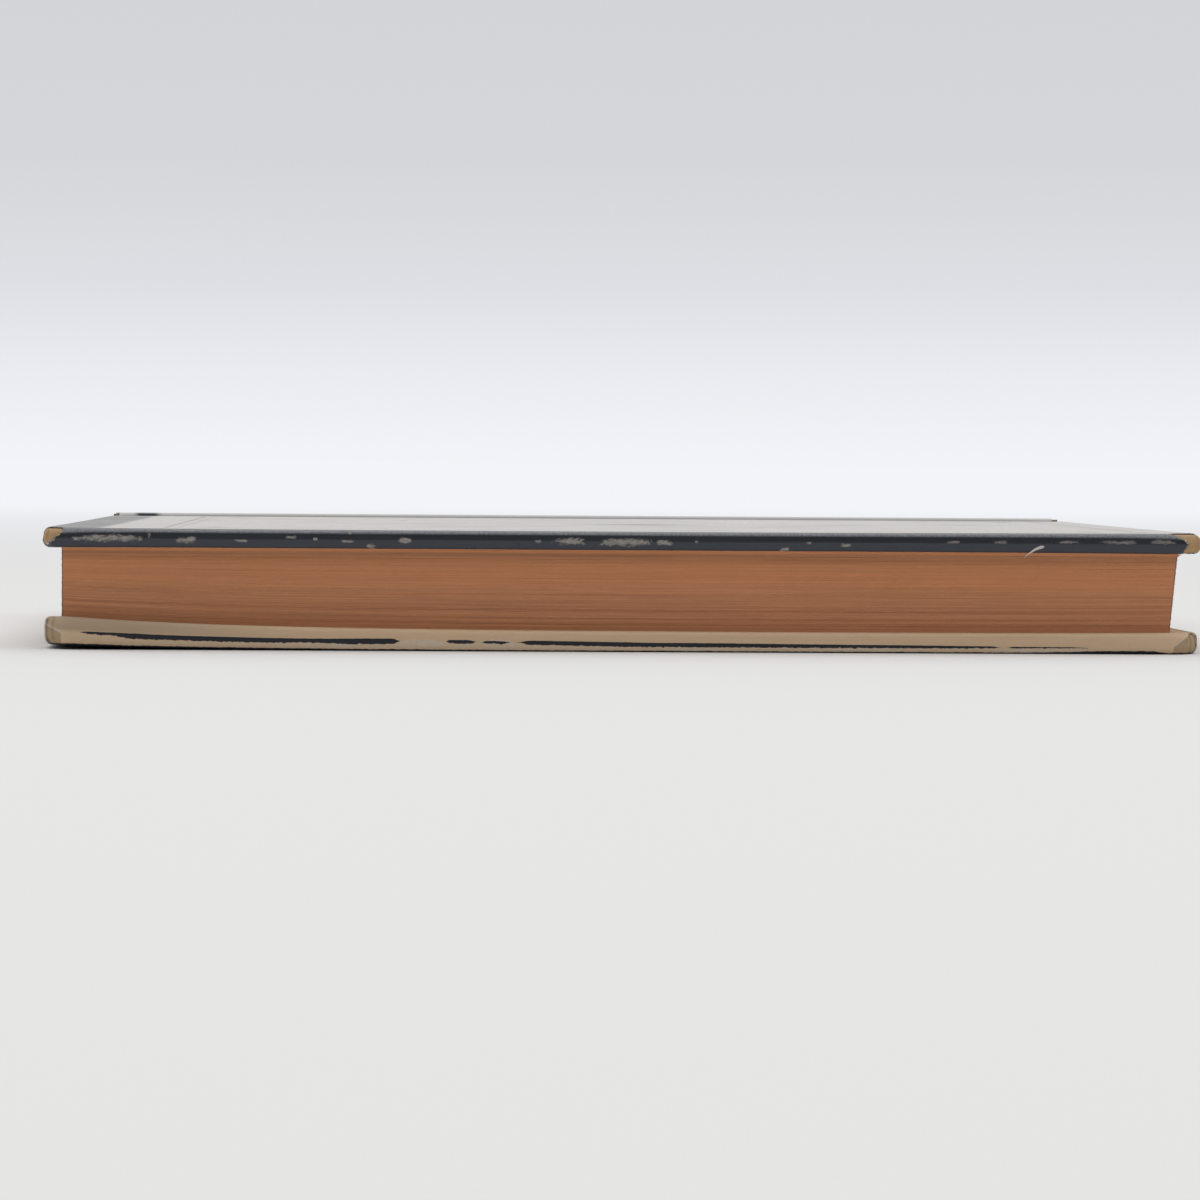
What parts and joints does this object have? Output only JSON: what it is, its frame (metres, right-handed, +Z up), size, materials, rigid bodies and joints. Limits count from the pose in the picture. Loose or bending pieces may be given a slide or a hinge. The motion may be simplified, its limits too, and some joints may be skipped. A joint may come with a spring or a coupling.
{
  "type": "hardback book",
  "caption": "Worn square-backed hardback book with stained page edges, closed and lying flat; both covers open on cloth-and-paper joints.",
  "frame": {"origin": "middle of the rectangle that the closed book covers on the table, at the table", "axes": "+X from tail to head, +Y from fore-edge to spine, +Z up from the back cover to the front cover"},
  "size_m": [0.197, 0.1398, 0.0207],
  "materials": {
    "stained_pages": "trimmed leaf edges, stained terracotta",
    "linen_thread": "waxed linen",
    "endpaper": "uncoated cream paper, foxed",
    "gauze": "open-weave gauze, glued",
    "kraft_lining": "kraft paper",
    "spine_card": "grey-brown pulp card",
    "spine_paper": "printed paper, semi-gloss, rubbed at its edges",
    "pulp_board": "raw pulp board",
    "front_paper": "printed paper, semi-gloss, scuffed edges",
    "back_paper": "printed paper, semi-gloss, worn through at its edges"
  },
  "bodies": {
    "book_block": {"text_block": "stained_pages", "sewing_threads": "linen_thread", "front_flyleaf": "endpaper", "back_flyleaf": "endpaper", "spine_mull": "gauze", "spine_lining": "kraft_lining", "spine_inlay": "spine_card", "spine_covering": "spine_paper"},
    "front_cover": {"front_board": "pulp_board", "front_covering": "front_paper", "front_pastedown": "endpaper"},
    "back_cover": {"back_board": "pulp_board", "back_covering": "back_paper", "back_pastedown": "endpaper"}
  },
  "joints": [
    {"name": "front_cover_hinge", "type": "hinge", "parent": "book_block", "child": "front_cover", "pos_m": [0, 0.06782, 0.0169], "axis": [-1, 0, 0], "range_deg": [0, 179]},
    {"name": "back_cover_hinge", "type": "hinge", "parent": "book_block", "child": "back_cover", "pos_m": [0, 0.06782, 0.0033], "axis": [1, 0, 0], "range_deg": [0, 179]}
  ]
}
